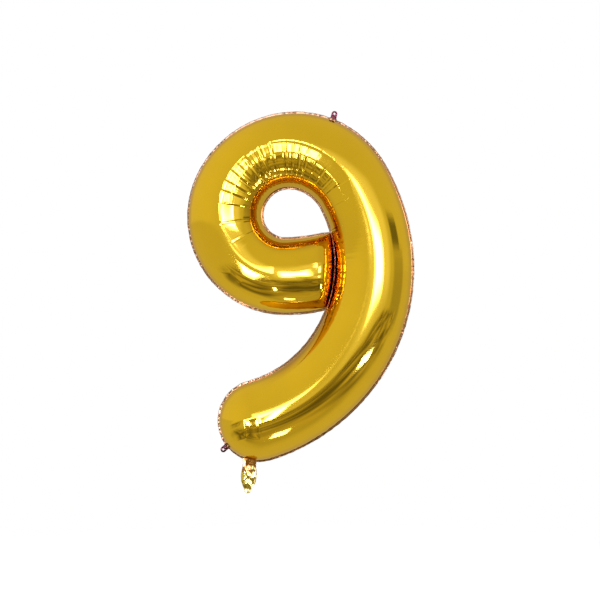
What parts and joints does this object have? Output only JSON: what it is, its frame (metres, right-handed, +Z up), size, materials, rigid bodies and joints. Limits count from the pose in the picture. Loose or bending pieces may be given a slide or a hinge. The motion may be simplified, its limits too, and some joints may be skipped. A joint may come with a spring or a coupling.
{
  "type": "foil number balloon",
  "caption": "Inflated gold foil balloon in the shape of the digit nine, with welded seams, a filling tail with a self-sealing valve and punched hanging ears.",
  "frame": {"origin": "centre of the punched hole in the top hanging ear", "axes": "+X to the reader's right, +Y away from the reader through the ear's hole, +Z up"},
  "size_m": [0.5475, 0.1758, 0.9177],
  "materials": {
    "front_foil": "gloss",
    "back_foil": "gloss",
    "seam_foil": "gloss",
    "ear_foil": "gloss",
    "tail_foil": "gloss",
    "valve_film": "gloss"
  },
  "bodies": {
    "envelope": {"front_panel": "front_foil", "back_panel": "back_foil", "outer_seam": "seam_foil", "hole_seam": "seam_foil", "loop_end_seam": "seam_foil", "valve_inner_front_film": "valve_film", "valve_inner_back_film": "valve_film"},
    "tail": {"tail_front_film": "tail_foil", "tail_back_film": "tail_foil", "valve_outer_front_film": "valve_film", "valve_outer_back_film": "valve_film"},
    "top_ear": {"top_hanging_ear": "ear_foil"},
    "foot_ear": {"foot_hanging_ear": "ear_foil"}
  },
  "joints": [
    {"name": "tail_fold", "type": "hinge", "parent": "envelope", "child": "tail", "pos_m": [-0.20457, 0, -0.83784], "axis": [0.9976, 0, -0.0698], "range_deg": [-105, 105]},
    {"name": "top_ear_fold", "type": "hinge", "parent": "envelope", "child": "top_ear", "pos_m": [-0.00218, 0, -0.00873], "axis": [0.9703, 0, -0.2419], "range_deg": [-105, 105], "stiffness_Nm_per_rad": 0.00002},
    {"name": "foot_ear_fold", "type": "hinge", "parent": "envelope", "child": "foot_ear", "pos_m": [-0.26185, 0, -0.80024], "axis": [0.6691, 0, -0.7431], "range_deg": [-105, 105], "stiffness_Nm_per_rad": 0.00002}
  ]
}
